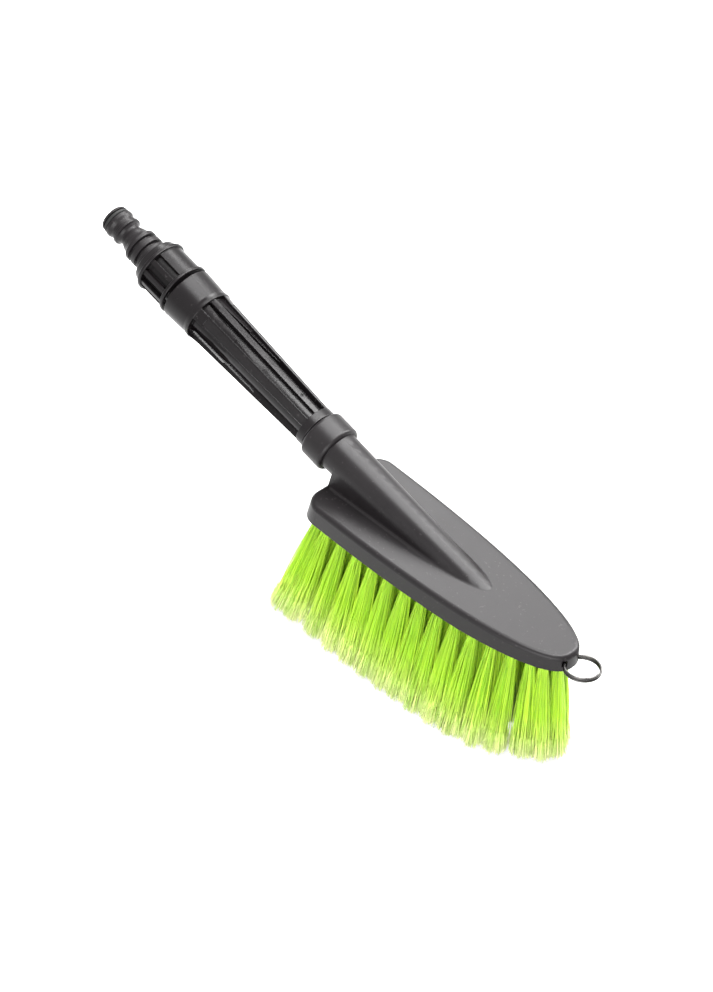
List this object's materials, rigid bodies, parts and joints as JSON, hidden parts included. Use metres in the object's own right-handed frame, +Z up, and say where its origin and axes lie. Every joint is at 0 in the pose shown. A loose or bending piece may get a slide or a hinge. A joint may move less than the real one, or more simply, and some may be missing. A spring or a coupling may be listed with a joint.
{
  "type": "wash brush",
  "caption": "Hose-fed wash brush: boat-shaped head with flared bristles, ribbed hollow handle, twist shut-off collar, click-fit hose connector and a hanging ring.",
  "frame": {"origin": "middle of the object's bounding box on the plane of the bristle tips that it stands on", "axes": "+X from the hose connector to the head's nose, +Y across the head to its left side, +Z up from the bristle tips to the deck"},
  "size_m": [0.3444, 0.074, 0.1349],
  "materials": {
    "black_plastic": "moulded black plastic, fine grain, satin",
    "green_bristle": "lime green plastic filament with pale flagged tips",
    "seal_rubber": "black sealing rubber",
    "ring_steel": "darkened spring steel wire",
    "anchor_steel": "flat bright wire"
  },
  "bodies": {
    "root": {"head_cover": "black_plastic", "tuft_plate": "black_plastic", "bristles_rear": "green_bristle", "bristles_mid_rear": "green_bristle", "bristles_middle": "green_bristle", "bristles_mid_front": "green_bristle", "bristles_tip": "green_bristle", "tuft_anchors": "anchor_steel", "handle_grip": "black_plastic", "neck_oring": "seal_rubber", "valve_body": "black_plastic", "valve_orings": "seal_rubber", "stem_oring": "seal_rubber", "hose_connector": "black_plastic", "connector_oring": "seal_rubber", "connector_washer": "seal_rubber"},
    "shut_off": {"valve_collar": "black_plastic"},
    "ring": {"hang_ring": "ring_steel"}
  },
  "joints": [
    {"name": "shut_off_turn", "type": "hinge", "parent": "root", "child": "shut_off", "pos_m": [-0.1392, 0, 0.1202], "axis": [0.972, 0, -0.2351], "range_deg": [0, 90]},
    {"name": "ring_swing", "type": "hinge", "parent": "root", "child": "ring", "pos_m": [0.15454, 0, 0.06793], "axis": [0, 0.9925, -0.1219], "range_deg": [-11, 0]}
  ]
}
